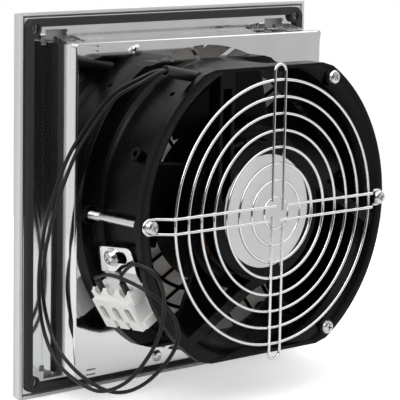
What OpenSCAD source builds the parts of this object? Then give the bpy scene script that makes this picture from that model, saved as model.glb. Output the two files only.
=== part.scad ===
// Cabinet filter fan: plastic cover, sheet-metal tray, axial fan, finger guard and terminal block.
// X runs along the cover's width, Z is up, and the fan blows along Y. The flange's rear face is the plane
// y = 0 and carries the gasket that lies on the door; the cover stands at negative y, the fan at positive y.

/* [Door and cover] */
// outer width and height of the cover rim, mm
cover_size = 204; // [190:1:230]
// wall of the cover rim
rim_wall = 1.7; // [1.2:0.1:3]
// depth of the straight side of the cover
rim_depth = 6.6; // [5:0.1:9]
// narrowing of the side from the rim to the front edge, per side
rim_draft = 0.9; // [0.2:0.1:1.5]
// depth of the bevelled front
bevel_depth = 4.4; // [3:0.1:7]
// how far the cover reaches past the edge of the door's square cut-out, per side
cover_lap = 13.5; // [10:0.1:18]
// free space between the cut-out and the tray, per side
cutout_gap = 0.9; // [0.4:0.1:1.5]
// number of louvre slats
slat_count = 12; // [8:1:16]
// thickness of a slat
slat_t = 1.8; // [1.2:0.1:3]
// width of a notch for lifting the cover off
notch_w = 14; // [8:0.5:20]

/* [Sheet metal] */
// thickness of the flange and the walls
sheet = 1; // [0.8:0.1:1.5]
// thickness of the fan plate's folded lip
lip_t = 0.8; // [0.6:0.1:1.2]
// how far the lip reaches over the walls
lip_reach = 5.2; // [3:0.1:8]
// distance from the flange's rear face to the back of the fan plate
plate_y = 28.7; // [22:0.1:42]
// gap between the cover rim and the flange edge
flange_gap = 1; // [0.8:0.1:3]
// distance of the corner holes from the cover's outer sides
hole_inset = 8.5; // [7:0.1:12]
// radius of a corner hole
corner_hole_r = 2.2; // [1.6:0.1:2.8]
// width of the gasket strip
gasket_w = 3; // [2.5:0.1:5]
// distance of the gasket strip from the flange's edge
gasket_edge = 1.8; // [0.5:0.1:3]
// thickness of the gasket
gasket_t = 2.5; // [1.5:0.1:4]
// width of a spring clip
clip_w = 12; // [8:0.5:16]
// width of a rib in the plate's opening
rib_w = 2; // [1.5:0.1:3]
// spacing of the ribs in the upper left and lower right quarters, seen from the fan
rib_pitch = 14; // [9:0.1:18]
// spacing of the ribs in the other two quarters
cross_pitch = 12; // [9:0.1:18]
// distance between the two rings that tie the ribs
web_ring_gap = 10.5; // [6:0.1:16]

/* [Fan] */
// how far the fan's round outline stands out past the tray's walls
fan_lap = 0.4; // [0:0.1:1]
// how much each flat takes off the round outline
flat_cut = 11; // [8:0.1:14]
// depth of the fan
fan_depth = 51.1; // [45:0.1:60]
// radial width of the flared mouths, from the throat to the round outline
throat_step = 13.2; // [11:0.1:16]
// depth of the flared mouth at the rear
horn_l = 16; // [10:0.5:24]
// depth of the flared mouth at the front
bell_l = 9; // [7:0.5:12]
// wall of the barrel
barrel_t = 2.5; // [2:0.1:3.5]
// distance of the screws from the round outline
screw_inset = 5.2; // [4.8:0.1:7]
// angle of the outer screws from the level line
screw_angle = 56; // [50:0.5:60]
// radius of the hub that carries the motor
hub_r = 37; // [32:0.5:40]
// width of a plain arm
arm_w = 6; // [4:0.5:9]
// width of the arm with the cable channel
cable_arm_w = 10; // [8:0.5:13]
// distance of the arms from the axis
arm_offset = 29; // [24:0.5:32]

/* [Rotor] */
// outer radius of the rotor drum
drum_r = 41; // [39:0.5:44]
// air gap between stator and rotor
air_gap = 0.8; // [0.4:0.1:1.5]
// radius of the shaft
shaft_r = 3; // [2.5:0.1:4]
// running clearance of the shaft in its bearings
run_gap = 0.03; // [0.02:0.01:0.08]
// number of blades
blade_count = 5; // [5:1:9]
// thickness of a blade
blade_t = 1.8; // [1.2:0.1:3]
// pitch of a blade against the plane of rotation
blade_pitch = 27; // [22:1:45]
// height of a blade along the axis
blade_h = 24; // [16:0.5:27]
// gap between blade tips and throat
tip_gap = 1.7; // [1:0.1:3]
// resting angle of the rotor
rotor_turn = 5; // [0:1:60]

/* [Guard] */
// radius of the guard wire
wire_r = 0.8; // [0.6:0.05:1.2]
// distance of the outer ring from the throat's wall
ring_inset = 4.4; // [3:0.1:8]
// radius of the inner ring
ring_min = 8.5; // [7:0.1:12]
// number of rings
ring_count = 8; // [6:1:10]
// height of the rings over the fan
guard_rise = 6.1; // [5:0.1:10]
// half spacing of the two wires of a hairpin
pin_half = 3.8; // [3.2:0.1:5]

/* [Fasteners] */
// radius of a screw shank
bolt_r = 2; // [1.5:0.1:2.5]
// radius of a screw head
head_r = 3.7; // [3.2:0.1:4.5]
// height of a screw head
head_h = 2.8; // [2:0.1:3.5]
// clearance around a screw in a plain hole
bolt_gap = 0.2; // [0.1:0.05:0.4]
// nut size across the flats
nut_af = 7; // [6:0.5:8]
// nut height
nut_h = 3.2; // [2:0.1:4]

/* [Terminal] */
// angle of the bracket's seat round the barrel
seat_angle = -12; // [-20:1:-5]
// distance of the bracket's outer face from the throat's wall
seat_rise = 8; // [6.5:0.1:10]
// distance of the bracket screw from the flange's rear face
seat_y = 49.1; // [43:0.1:55]
// slope of the bracket
bracket_tilt = 5; // [0:1:10]
// thickness of the bracket
bracket_t = 1.2; // [1:0.1:2]
// bend between the two legs of the bracket
bracket_bend = 18; // [5:1:30]
// length of the block over its three poles
block_l = 32; // [28:0.5:40]
// height of the block
block_h = 21; // [18:0.5:26]
// depth of the block
block_d = 13; // [11:0.5:16]
// spacing of the poles
pole_pitch = 10; // [9:0.5:12]

/* [Leads] */
// radius of a lead wire
lead_r = 1; // [0.8:0.05:1.3]
// outer radius of the sleeve
sleeve_r = 3; // [2.6:0.1:3.5]

/* [Hidden] */
fan_y1 = plate_y + fan_depth;
half = cover_size / 2;
rim_y = 0.5;
edge_y = rim_y - rim_depth;
face_y = edge_y - bevel_depth;
cutout = cover_size - 2 * cover_lap;
hole_pitch = cover_size - 2 * hole_inset;
edge_half = half - rim_draft;
face_half = edge_half - bevel_depth;
flange_back = 0;
flange_front = flange_back - sheet;
flange_half = half - rim_wall - flange_gap;
tray_out = cutout / 2 - cutout_gap - lip_t;
tray_in = tray_out - sheet;
lip_out = tray_out + lip_t;
fan_r = tray_out + fan_lap;
flat_half = fan_r - flat_cut;
throat_r = fan_r - throat_step;
screw_circle = fan_r - screw_inset;
ring_max = throat_r - ring_inset;
seat_r = throat_r + seat_rise;
gasket_out = flange_half - gasket_edge;
gasket_in = gasket_out - gasket_w;
hole_half = hole_pitch / 2;
mat_half = tray_in - 1.3;
mat_y0 = rim_y - 3.6;
mat_t = 12;
open_half = mat_half - 2;
pad_r = corner_hole_r + 1.5;
peg_r = 1.1;
peg_at = gasket_in + gasket_w / 2;
peg_hole_r = peg_r + 0.3;
slot_w = clip_w + 2;
slot_x0 = tray_out - 1.5 - slot_w;
slot_h = 5.8;
clip_t = 0.7;
clip_rise = 3.1;
clip_slope = 12.4;
door_t = 2.6;
plate_hole_r = fan_r - 4;
ear_r = lip_out - screw_circle - 0.1;
web_ring_r = plate_hole_r - 33.7;
rivet_z = tray_out - 4.2;
rivets = [[tray_out - 39.3, rivet_z], [tray_out - 55.8, -rivet_z]];
rivet_r = 1.6;
rivet_head_r = 3.2;
rivet_dome = 1.5;
rivet_tail_r = 2.2;
rivet_tail = 1.6;
holes = [0, 180, 180 - screw_angle, 180 + screw_angle];
boss_r = 4.8;
corner_x = sqrt(fan_r * fan_r - flat_half * flat_half);
corner_half = corner_x * sin(15) + flat_half * cos(15) - 1.1;
wall_x = corner_x + 1.6;
rim_t = 1.8;
hub_y1 = fan_y1 - 1;
hub_y0 = hub_y1 - 10.3;
arm_y0 = fan_y1 - 9.8;
arm_y1 = fan_y1 - 1.3;
label_r = hub_r - 7;
label_t = 0.6;
drum_y0 = plate_y + 7;
drum_y1 = hub_y0 - 0.8;
drum_wall = 4;
stator_r = drum_r - drum_wall - air_gap;
tube_r = 9.5;
tube_bore = 7;
drum_boss_r = 8;
vent_at = (drum_boss_r + drum_r - drum_wall) / 2;
vent_r = 3;
slot_in = tube_r + 5.5;
tube_y0 = drum_y0 + 6;
core_y0 = tube_y0 + 5.5;
coil_h = 4.6;
coil_gap = 2.7;
core_h = hub_y0 - coil_gap - coil_h - core_y0;
front_brg_y = tube_y0 + 1;
brg_w = 5;
rear_brg_y = hub_y0 - 8;
blade_y0 = (drum_y0 + drum_y1 - blade_h) / 2 + 0.8;
blade_y1 = blade_y0 + blade_h;
hub_ring_t = 3;
tip_r = throat_r - tip_gap;
guard_y = fan_y1 + guard_rise;
ring_step = (ring_max - ring_min) / (ring_count - 1);
pin_y = guard_y + 1.3 * wire_r;
foot_y = fan_y1 + wire_r;
loop_side = screw_circle + 0.2;
loop_top = ring_max + 4.4;
bend_x0 = ring_max + 1.6;
bend_x1 = loop_side - 3.6;
head_y = foot_y + wire_r;
channel_w = cable_arm_w - 4;
channel_z0 = 8;
channel_z1 = flat_half - 10.2;
sleeve_a = [arm_offset + 2, fan_y1 - 9.3, flat_half - 6.4];
sleeve_b = [corner_x + 22.1, fan_y1 - 9.3, flat_half];
sleeve_bore = 2;
pole_at = [-pole_pitch, 0, pole_pitch];
block_mid = 3;
leg_drop = 8;
block_top = -5.5;
entry_x = block_d - 5.5;
entry_r = 2.4;
funnel_r = 3.9;
ferrule_r = 1.7;
ferrule_up = 5.5;
cage_drop = 8.5;
cage = [6, 5.6, 7];
well_drop = 12;
well_r = 2.7;
well_rise = 2;
notch_gap = 3;
leg_l = block_h - block_top + 1.5;
bracket_w = block_l - 4;
bracket_y0 = block_mid - block_l / 2 + 1.4;
bracket_corner = 5;
block_rivet_r = 1.5;
block_rivet_z = block_top - cage_drop - cage[2] - 1;
block_rivet_at = [block_mid - 7, block_mid + 7];
slit_r = 3;
slit_at = [-3.6, 8.4];
seat_boss_r = 6;
seat_boss_h = seat_rise - bracket_t - barrel_t + 0.7;
washer_t = 0.8;

// route of lead A from the sleeve to the third pole
route_a = [[57, 69.45, 74.8], [66, 69.45, 76.5], [76, 66.5, 73.5], [85.5, 53, 63], [92, 39, 43.5],
    [95, 28, 25], [97, 15.5, -6.5], [97.5, 11, -38.5], [97.5, 15.5, -62], [97, 28, -78], [97, 50, -85],
    [95, 64.5, -84.5], [91, 79.5, -75], [84, 89.5, -56], [82, 92.5, -36.5], [86.5, 91.5, -22],
    [91, 80.5, -17.5], [88, 66.5, -25.5]];
// route of lead B from the sleeve to the first pole
route_b = [[57, 71.55, 74.8], [66, 71.55, 76.5], [77, 69.5, 72], [86.5, 57.5, 62], [93, 44, 43],
    [95, 32.5, 24.5], [96, 18.5, -7.5], [95, 11, -39], [94.5, 18, -63.5], [94, 34.5, -78],
    [93, 57.5, -85], [90, 73.5, -84], [84, 86, -75.5], [75, 93, -60.5], [74, 93, -47.5],
    [81, 89.5, -36.5], [88.5, 80.5, -29], [91, 62, -26], [88, 46.5, -30]];

// turns a shape built along Z so that it runs along Y
module turn() {
    rotate([-90, 0, 0]) children();
}

// puts a shape on the fan's face at a radius and an angle from +X towards +Z
module polar(r, a, y) {
    translate([r * cos(a), y, r * sin(a)]) children();
}

// square plate lying across Y
module slab(h, y0, y1) {
    translate([-h, y0, -h]) cube([2 * h, y1 - y0, 2 * h]);
}

// rounded square outline across Y
module soft_slab(h, r, y0, y1) {
    translate([0, y0, 0]) turn() linear_extrude(y1 - y0) soft_square(h, r);
}

module soft_square(h, r) {
    square([2 * h, 2 * (h - r)], center = true);
    square([2 * (h - r), 2 * h], center = true);
    for (sx = [-1, 1], sy = [-1, 1]) {
        translate([sx * (h - r), sy * (h - r)]) circle(r = r, $fn = 32);
    }
}

// solid with square ends of two sizes
module taper(h0, y0, h1, y1) {
    polyhedron(points = [[-h0, y0, -h0], [h0, y0, -h0], [h0, y0, h0], [-h0, y0, h0],
        [-h1, y1, -h1], [h1, y1, -h1], [h1, y1, h1], [-h1, y1, h1]],
        faces = [[3, 2, 1, 0], [4, 5, 6, 7], [0, 1, 5, 4], [1, 2, 6, 5], [2, 3, 7, 6], [3, 0, 4, 7]]);
}

// one louvre slat, its outer edge lower than its inner edge
module slat(z) {
    translate([-open_half - 1, 0, z]) rotate([90, 0, 90]) linear_extrude(2 * open_half + 2)
        polygon([[face_y, -4], [face_y + slat_t * 1.4, -4], [mat_y0 - 0.6, 4],
            [mat_y0 - 0.6 - slat_t * 1.4, 4]]);
}

// snap peg that reaches into its hole in the flange
module peg() {
    turn() cylinder(r = peg_r, h = flange_back - 0.4 - edge_y, $fn = 24);
}

// light-grey plastic cover with louvres, mat pocket and four snap pegs
module front_cover() {
    step = 2 * open_half / slat_count;
    color([0.80, 0.81, 0.80]) {
        difference() {
            union() {
                taper(edge_half, edge_y, half, rim_y);
                taper(face_half, face_y, edge_half, edge_y);
            }
            slab(half - rim_wall, edge_y + 0.6, rim_y + 1);
            slab(open_half, face_y - 1, rim_y + 1);
            for (x = [-open_half / 2, open_half / 2]) {
                translate([x - notch_w / 2, face_y - 1, -face_half - 1]) cube([notch_w, 2.2, 5]);
            }
        }
        difference() {
            slab(mat_half + 1, edge_y, flange_front - 0.4);
            slab(mat_half - 0.4, edge_y - 1, rim_y + 1);
        }
        for (i = [0 : slat_count - 1]) {
            slat(-open_half + (i + 0.5) * step);
        }
        for (x = [-open_half / 3, open_half / 3]) {
            translate([x - 1.5, face_y + 1.2, -open_half - 1])
                cube([3, mat_y0 - face_y - 1.2, 2 * open_half + 2]);
        }
        for (s = [-1, 1]) {
            translate([s * peg_at, edge_y, 0]) peg();
            translate([0, edge_y, s * peg_at]) peg();
        }
    }
}

// pleatless fibre pad behind the louvres
module filter_mat() {
    color([0.55, 0.52, 0.49]) slab(mat_half - 0.4, mat_y0, mat_y0 + mat_t);
}

// flange, four walls and the top and bottom return lips, folded from one sheet
module mount_frame() {
    color([0.86, 0.87, 0.88]) difference() {
        union() {
            slab(flange_half, flange_front, flange_back);
            slab(tray_out, flange_front, plate_y - sheet);
        }
        slab(tray_in, flange_front - 1, plate_y - 2 * sheet);
        translate([-tray_in, 0, -rivet_z + 4.5]) cube([2 * tray_in, plate_y + 1, 2 * rivet_z - 9]);
        for (sx = [-1, 1], sz = [-1, 1]) {
            translate([sx * hole_half, flange_front - 1, sz * hole_half]) turn()
                cylinder(r = corner_hole_r, h = sheet + 2, $fn = 24);
            translate([sx * (slot_x0 + slot_w / 2), flange_front + sheet / 2, sz * (tray_out + slot_h / 2)])
                cube([slot_w, sheet + 2, slot_h], center = true);
            translate([sx * tray_out - 1.4, flange_front - 1, sz * tray_out - 1.4]) cube([2.8, 3, 2.8]);
        }
        for (p = rivets) {
            translate([p[0], plate_y - 3 * sheet, p[1]]) turn()
                cylinder(r = rivet_r, h = 3 * sheet, $fn = 24);
        }
        for (s = [-1, 1]) {
            translate([s * peg_at, flange_front - 1, 0]) turn()
                cylinder(r = peg_hole_r, h = sheet + 2, $fn = 24);
            translate([0, flange_front - 1, s * peg_at]) turn()
                cylinder(r = peg_hole_r, h = sheet + 2, $fn = 24);
        }
    }
}

// foam strip along the flange's edge, with a round pad at each corner hole
module flange_gasket() {
    color([0.16, 0.15, 0.15]) difference() {
        union() {
            difference() {
                soft_slab(gasket_out, 4, flange_back, flange_back + gasket_t);
                soft_slab(gasket_in, 1, flange_back - 1, flange_back + gasket_t + 1);
            }
            for (sx = [-1, 1], sz = [-1, 1]) {
                translate([sx * hole_half, flange_back, sz * hole_half]) turn()
                    cylinder(r = pad_r, h = gasket_t, $fn = 32);
            }
        }
        for (sx = [-1, 1], sz = [-1, 1]) {
            translate([sx * hole_half, flange_back - 1, sz * hole_half]) turn()
                cylinder(r = corner_hole_r + 0.4, h = gasket_t + 2, $fn = 24);
        }
    }
}

// one leaf spring: a hook over the wall's edge, a shoulder that snaps behind the door and a run-in slope
module clip_leaf() {
    y = gasket_t + door_t;
    rotate([90, 0, 90]) linear_extrude(clip_w) polygon([[flange_front - clip_t, tray_in + 0.1],
        [flange_front, tray_in + 0.1], [flange_front, tray_out], [y + clip_slope, tray_out],
        [y + clip_slope, tray_out + clip_t], [y + 0.8, tray_out + clip_rise], [y, tray_out + clip_rise - 0.5],
        [y, tray_out + clip_t], [flange_front - clip_t, tray_out + clip_t]]);
}

// four spring clips, two on the top wall and two on the bottom wall
module spring_clips() {
    color([0.78, 0.79, 0.80]) for (m = [0, 1], x = [slot_x0 + 1, -slot_x0 - 1 - clip_w]) {
        mirror([0, 0, m]) translate([x, 0, 0]) clip_leaf();
    }
}

// parallel bars that fill two opposite quarters of the plate's opening
module bars(a, pitch, shift, side) {
    n = ceil(plate_hole_r / pitch) + 1;
    intersection() {
        rotate(a) for (i = [-n : n]) {
            translate([-plate_hole_r, i * pitch + shift - rib_w / 2]) square([2 * plate_hole_r, rib_w]);
        }
        union() {
            translate([-rib_w / 2, side > 0 ? -rib_w / 2 : -plate_hole_r])
                square(plate_hole_r + rib_w / 2);
            translate([-plate_hole_r, side > 0 ? -plate_hole_r : -rib_w / 2])
                square(plate_hole_r + rib_w / 2);
        }
    }
}

// back plate with folded lip, ribbed round opening and screw ears
module fan_plate() {
    color([0.86, 0.87, 0.88]) difference() {
        union() {
            difference() {
                soft_slab(lip_out, 2, plate_y - lip_reach, plate_y);
                slab(tray_out, plate_y - lip_reach - 1, plate_y - sheet);
                translate([0, plate_y - 3, 0]) turn() cylinder(r = plate_hole_r, h = 5, $fn = 96);
            }
            translate([0, plate_y - sheet, 0]) turn() linear_extrude(sheet) {
                intersection() {
                    circle(r = plate_hole_r + 0.5, $fn = 96);
                    union() {
                        bars(-51, rib_pitch, -2.2, -1);
                        bars(28, cross_pitch, -1.5, 1);
                        square([2 * plate_hole_r + 1, rib_w], center = true);
                        translate([-rib_w / 2, 11.2 - plate_hole_r])
                            square([rib_w, 2 * plate_hole_r - 10.7]);
                    }
                }
                for (r = [web_ring_r, web_ring_r + web_ring_gap]) {
                    difference() {
                        circle(r = r + rib_w / 2, $fn = 96);
                        circle(r = r - rib_w / 2, $fn = 96);
                    }
                }
                for (a = holes) {
                    translate([screw_circle * cos(a), -screw_circle * sin(a)]) circle(r = ear_r, $fn = 32);
                }
            }
        }
        for (a = holes) {
            polar(screw_circle, a, plate_y - 2) turn() cylinder(r = bolt_r + bolt_gap, h = 3, $fn = 24);
        }
        for (p = rivets) {
            translate([p[0], plate_y - 3, p[1]]) turn() cylinder(r = rivet_r, h = 4, $fn = 24);
        }
        for (sz = [-1, 1], d = [-1.3, 1.3]) {
            translate([tray_out - 13.5, plate_y - 2, sz * (tray_out - 2.2) + d - 0.3]) cube([6.4, 3, 0.6]);
        }
    }
}

// two blind rivets between plate and frame
module plate_rivets() {
    inner = plate_y - 2 * sheet;
    color([0.75, 0.76, 0.77]) for (p = rivets) {
        translate([p[0], 0, p[1]]) turn() rotate_extrude($fn = 32)
            polygon([[0, inner - rivet_tail], [rivet_tail_r, inner - 0.9 * rivet_tail], [rivet_tail_r, inner],
                [rivet_r, inner], [rivet_r, plate_y], [rivet_head_r, plate_y],
                [0.9 * rivet_head_r, plate_y + 0.45 * rivet_dome],
                [0.56 * rivet_head_r, plate_y + 0.86 * rivet_dome], [0, plate_y + rivet_dome]]);
    }
}

// quarter of an ellipse that leaves the throat along the axis
function mouth(r, y, dr, dy, n) =
    [for (i = [0 : n]) [r + dr * (1 - cos(90 * i / n)), y + dy * sin(90 * i / n)]];

function flip(p) = [for (i = [len(p) - 1 : -1 : 0]) p[i]];

// wall of the barrel: short mouth at the front, long one at the rear
module horn() {
    out_r = throat_r + barrel_t;
    turn() rotate_extrude($fn = 96) polygon(concat(
        flip(mouth(throat_r, plate_y + bell_l, fan_r - 4.2 - throat_r, -bell_l, 5)),
        mouth(throat_r, fan_y1 - horn_l, fan_r - 2 - throat_r, horn_l, 8),
        [[fan_r, fan_y1]],
        flip(mouth(out_r, fan_y1 - horn_l, fan_r - out_r, horn_l - 4, 8)),
        mouth(out_r, plate_y + bell_l, fan_r - out_r, 4 - bell_l, 5),
        [[fan_r, plate_y]]));
}

// space between two parallel planes, turned about the axis
module band(a, h) {
    rotate([0, a, 0]) translate([-2 * fan_r, plate_y - 1, -h]) cube([4 * fan_r, fan_depth + 2, 2 * h]);
}

// one slanting arm from the hub to the horn
module arm(a, w) {
    intersection() {
        rotate([0, -a, 0]) translate([arm_offset - w / 2, arm_y0, -6]) cube([w, arm_y1 - arm_y0, fan_r + 6]);
        turn() rotate_extrude($fn = 96) polygon([[0, arm_y0], [throat_r + barrel_t - 0.1, arm_y0],
            [fan_r - 5.4, arm_y1], [0, arm_y1]]);
        translate([-fan_r, arm_y0, -flat_half + 0.5]) cube([2 * fan_r, fan_depth, 2 * flat_half - 1]);
    }
}

// straight tube between two points
module rod(a, b, r, n) {
    d = b - a;
    l = norm(d);
    translate(a) rotate([0, acos(d[2] / l), atan2(d[1], d[0])]) cylinder(r = r, h = l, $fn = n);
}

// frame of the bracket: X points away from the fan, Y along it, Z up along the barrel
module seat() {
    rotate([0, -seat_angle, 0]) translate([seat_r, seat_y, -3]) rotate([bracket_tilt, 0, 0]) children();
}

// frame of the bracket's lower leg
module leg() {
    seat() translate([0, 0, -leg_drop]) rotate([0, bracket_bend, 0]) children();
}

// black casting: flared barrel with flats, bosses, three arms, hub and bearing tube
module fan_frame() {
    color([0.05, 0.05, 0.055]) difference() {
        union() {
            intersection() {
                union() {
                    horn();
                    for (z = [flat_half - rim_t, -flat_half - 1]) {
                        translate([-wall_x, plate_y, z]) cube([2 * wall_x, 0.7 * bell_l, rim_t + 1]);
                        translate([-wall_x, fan_y1 - 0.75 * horn_l, z])
                            cube([2 * wall_x, 0.75 * horn_l, rim_t + 1]);
                    }
                }
                band(0, flat_half);
                band(15, corner_half);
                band(-15, corner_half);
            }
            for (a = holes) {
                polar(screw_circle, a, fan_y1 - 6) turn() cylinder(r = boss_r, h = 6, $fn = 32);
                polar(screw_circle, a, plate_y) turn() cylinder(r = boss_r, h = 5.4, $fn = 32);
            }
            arm(0, cable_arm_w);
            arm(120, arm_w);
            arm(240, arm_w);
            translate([0, hub_y0, 0]) turn()
                cylinder(r1 = hub_r - 1.5, r2 = hub_r, h = hub_y1 - hub_y0, $fn = 96);
            translate([0, tube_y0, 0]) turn() cylinder(r = tube_r, h = hub_y0 + 1 - tube_y0, $fn = 48);
            seat() rotate([0, -90, 0]) translate([0, 0, bracket_t])
                cylinder(r = seat_boss_r, h = seat_boss_h, $fn = 32);
            rotate([0, -24.6, 0]) translate([throat_r + 1.5, fan_y1 - 20.1, 0]) rotate([0, 90, 0])
                cylinder(r = 3.4, h = 6.5, $fn = 32);
        }
        translate([0, hub_y1 - label_t, 0]) turn() cylinder(r = label_r, h = label_t + 1, $fn = 96);
        translate([0, tube_y0 - 1, 0]) turn() cylinder(r = tube_bore, h = hub_y0 + 3 - tube_y0, $fn = 48);
        translate([arm_offset - channel_w / 2, fan_y1 - 7, channel_z0])
            cube([channel_w, 9, channel_z1 - channel_z0]);
        for (a = holes) {
            polar(screw_circle, a, plate_y - 1) turn()
                cylinder(r = bolt_r + bolt_gap, h = fan_depth + 2, $fn = 24);
        }
        seat() rotate([0, -90, 0]) cylinder(r = bolt_r, h = 5.6, $fn = 24);
        rotate([0, -24.6, 0]) translate([throat_r + 3.5, fan_y1 - 20.1, 0]) rotate([0, 90, 0])
            cylinder(r = 1.6, h = 6, $fn = 24);
        rotate([0, -54, 0]) translate([throat_r + 0.6, plate_y + 25, 0]) rotate([0, 90, 0])
            cylinder(r = 1.6, h = 6, $fn = 24);
        rod(sleeve_a, sleeve_b, sleeve_r, 32);
    }
}

// laminated stator with eight slots, pushed on the bearing tube
module stator_core() {
    color([0.45, 0.46, 0.48]) translate([0, core_y0, 0]) turn() difference() {
        cylinder(r = stator_r, h = core_h, $fn = 96);
        translate([0, 0, -1]) cylinder(r = tube_r, h = core_h + 2, $fn = 48);
        slots(core_h + 2, -1);
        for (i = [0 : 7]) {
            rotate(i * 45) translate([stator_r - 5, -0.8, -1]) cube([7, 1.6, core_h + 2]);
        }
    }
}

// wedge-shaped winding space of the eight slots
module slots(h, z) {
    for (i = [0 : 7]) {
        rotate(i * 45) translate([0, 0, z]) linear_extrude(h)
            polygon([[slot_in, -2.2], [stator_r - 5, -8], [stator_r - 4, 0], [stator_r - 5, 8],
                [slot_in, 2.2]]);
    }
}

// copper windings: slot fillings joined by two end turns
module stator_windings() {
    color([0.62, 0.33, 0.16]) translate([0, core_y0, 0]) turn() {
        slots(core_h + 0.4, -0.2);
        for (z = [-coil_h, core_h]) {
            translate([0, 0, z]) difference() {
                cylinder(r = stator_r - 4.5, h = coil_h, $fn = 64);
                translate([0, 0, -1]) cylinder(r = slot_in - 1, h = coil_h + 2, $fn = 48);
            }
        }
    }
}

// ball bearing drawn as one ring with its shield grooves
module bearing(y) {
    bore = shaft_r + run_gap;
    inner = shaft_r + 1.4;
    outer = tube_bore - 1.4;
    translate([0, y, 0]) turn() rotate_extrude($fn = 64) polygon([[bore, 0], [inner, 0], [inner, 0.4],
        [outer, 0.4], [outer, 0], [tube_bore, 0], [tube_bore, brg_w], [outer, brg_w], [outer, brg_w - 0.4],
        [inner, brg_w - 0.4], [inner, brg_w], [bore, brg_w]]);
}

module bearing_front() {
    color([0.7, 0.7, 0.72]) bearing(front_brg_y);
}

module bearing_rear() {
    color([0.7, 0.7, 0.72]) bearing(rear_brg_y);
}

// spring washer that loads the rear bearing
module preload_washer() {
    color([0.55, 0.56, 0.58]) translate([0, rear_brg_y - 0.8, 0]) turn() difference() {
        cylinder(r = tube_bore, h = 0.8, $fn = 48);
        translate([0, 0, -1]) cylinder(r = 5, h = 3, $fn = 48);
    }
}

// ground steel shaft with a groove for its ring
module shaft() {
    color([0.75, 0.76, 0.78]) turn() rotate_extrude($fn = 48) polygon([[0, drum_y0 + 0.4],
        [shaft_r, drum_y0 + 0.4],
        [shaft_r, rear_brg_y + brg_w + 0.5], [shaft_r - 0.5, rear_brg_y + brg_w + 0.5],
        [shaft_r - 0.5, rear_brg_y + brg_w + 1.3], [shaft_r, rear_brg_y + brg_w + 1.3],
        [shaft_r, hub_y0 - 0.4], [0, hub_y0 - 0.4]]);
}

// snap ring in the groove of the shaft
module retaining_ring() {
    color([0.3, 0.3, 0.32]) translate([0, rear_brg_y + brg_w + 0.5, 0]) turn() difference() {
        cylinder(r = 5, h = 0.8, $fn = 48);
        translate([0, 0, -1]) cylinder(r = shaft_r - 0.5, h = 3, $fn = 48);
        translate([0, -1.2, -1]) cube([8, 2.4, 3]);
    }
}

// deep-drawn drum that turns around the stator
module rotor_can() {
    color([0.07, 0.07, 0.08]) turn() difference() {
        rotate_extrude($fn = 96) polygon([[shaft_r, drum_y0], [drum_r - 2, drum_y0], [drum_r, drum_y0 + 2],
            [drum_r, drum_y1], [drum_r - drum_wall, drum_y1], [drum_r - drum_wall, drum_y0 + 3],
            [drum_boss_r, drum_y0 + 3], [drum_boss_r, drum_y0 + 5.4], [shaft_r, drum_y0 + 5.4]]);
        for (a = [0 : 60 : 300]) {
            rotate(a) translate([vent_at, 0, drum_y0 - 1]) cylinder(r = vent_r, h = 5, $fn = 24);
        }
    }
}

// one curved blade, cut round at its tip
module blade() {
    l = (blade_y1 - blade_y0) / sin(blade_pitch);
    bow = l * 1.6;
    rotate([0, 90, 0]) translate([0, 0, drum_r + 1]) linear_extrude(tip_r) rotate(180 - blade_pitch)
        translate([0, -bow * cos(asin(l / 2 / bow))]) intersection() {
            difference() {
                circle(r = bow + blade_t / 2, $fn = 96);
                circle(r = bow - blade_t / 2, $fn = 96);
            }
            translate([-l / 2, 0]) square([l, 2 * bow]);
        }
}

// blade ring on the drum
module impeller() {
    mid = (blade_y0 + blade_y1) / 2;
    color([0.04, 0.04, 0.045]) {
        translate([0, drum_y0 + 2, 0]) turn() difference() {
            cylinder(r = drum_r + hub_ring_t, h = drum_y1 - drum_y0 - 3, $fn = 96);
            translate([0, 0, -1]) cylinder(r = drum_r, h = drum_y1 - drum_y0, $fn = 96);
        }
        intersection() {
            for (i = [0 : blade_count - 1]) {
                translate([0, mid, 0]) rotate([0, -rotor_turn - i * 360 / blade_count, 0]) blade();
            }
            translate([0, blade_y0, 0]) turn() cylinder(r = tip_r, h = blade_h, $fn = 96);
        }
    }
}

// plain white disc in the hub's recess
module hub_label() {
    color([0.93, 0.93, 0.92]) translate([0, hub_y1 - label_t, 0]) turn()
        cylinder(r = label_r, h = label_t, $fn = 96);
}

// one wire ring
module ring(r) {
    translate([0, guard_y, 0]) turn() rotate_extrude($fn = 96) translate([r, 0]) circle(r = wire_r, $fn = 16);
}

// half loop that closes a hairpin at x
module loop_end(x, y) {
    translate([x, y, 0]) turn() rotate(-90) rotate_extrude(angle = 180, $fn = 48) translate([pin_half, 0])
        circle(r = wire_r, $fn = 16);
}

// inner end of a hairpin's wire: one wire runs on almost to the middle
function pin_start(side) = ring_min - (side > 0 ? 7.3 : 1.9);

// straight hairpin for the top and the bottom
module hairpin_flat() {
    for (s = [-1, 1]) {
        rod([pin_start(s), pin_y, s * pin_half], [loop_top, pin_y, s * pin_half], wire_r, 16);
    }
    loop_end(loop_top, pin_y);
}

// hairpin for a screw: its outer end is bent down to the fan
module hairpin_screw() {
    for (s = [-1, 1]) {
        rod([pin_start(s), pin_y, s * pin_half], [bend_x0, pin_y, s * pin_half], wire_r, 16);
        rod([bend_x0, pin_y, s * pin_half], [bend_x1, foot_y, s * pin_half], wire_r, 16);
        rod([bend_x1, foot_y, s * pin_half], [loop_side, foot_y, s * pin_half], wire_r, 16);
        for (p = [[bend_x0, pin_y, s * pin_half], [bend_x1, foot_y, s * pin_half]]) {
            translate(p) sphere(r = wire_r, $fn = 16);
        }
    }
    loop_end(loop_side, foot_y);
}

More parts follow.
